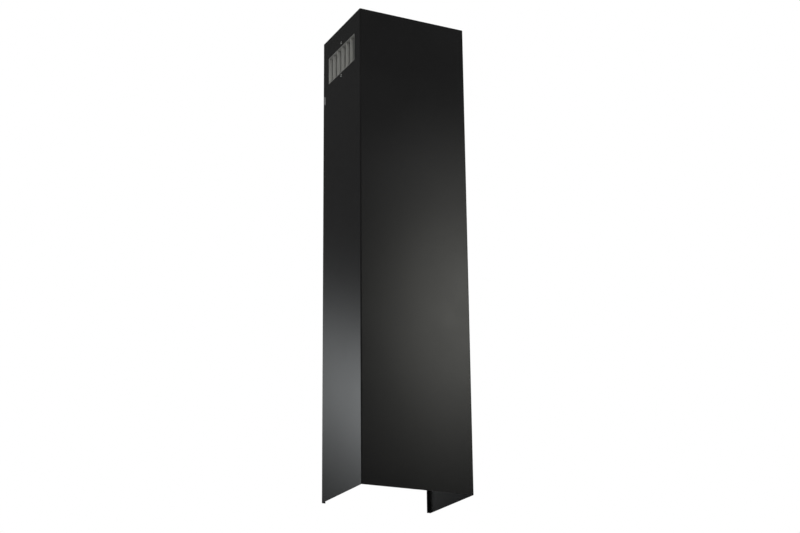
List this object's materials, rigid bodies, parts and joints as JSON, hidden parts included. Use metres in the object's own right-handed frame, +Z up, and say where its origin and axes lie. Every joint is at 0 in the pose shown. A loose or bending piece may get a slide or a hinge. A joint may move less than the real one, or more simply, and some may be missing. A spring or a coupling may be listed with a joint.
{
  "type": "cooker hood chimney section",
  "caption": "Tall black chimney section of a cooker hood: a folded steel channel, open at back, top and foot, with a grey vaned air outlet grille near the top of each side.",
  "frame": {"origin": "middle of the section's foot, on the plane of the lower edges", "axes": "+Z up along the section, -Y out of the front panel, +Y to the wall, +X to the right seen from the front"},
  "size_m": [0.2438, 0.185, 1],
  "materials": {
    "black_paint": "satin black stoving paint over steel sheet",
    "grey_plastic": "matt grey moulding",
    "zinc_steel": "dull zinc plating"
  },
  "bodies": {
    "root": {"chimney_shell": "black_paint", "left_outlet_grille": "grey_plastic", "right_outlet_grille": "grey_plastic", "left_grille_screws": "zinc_steel", "right_grille_screws": "zinc_steel"}
  },
  "joints": []
}
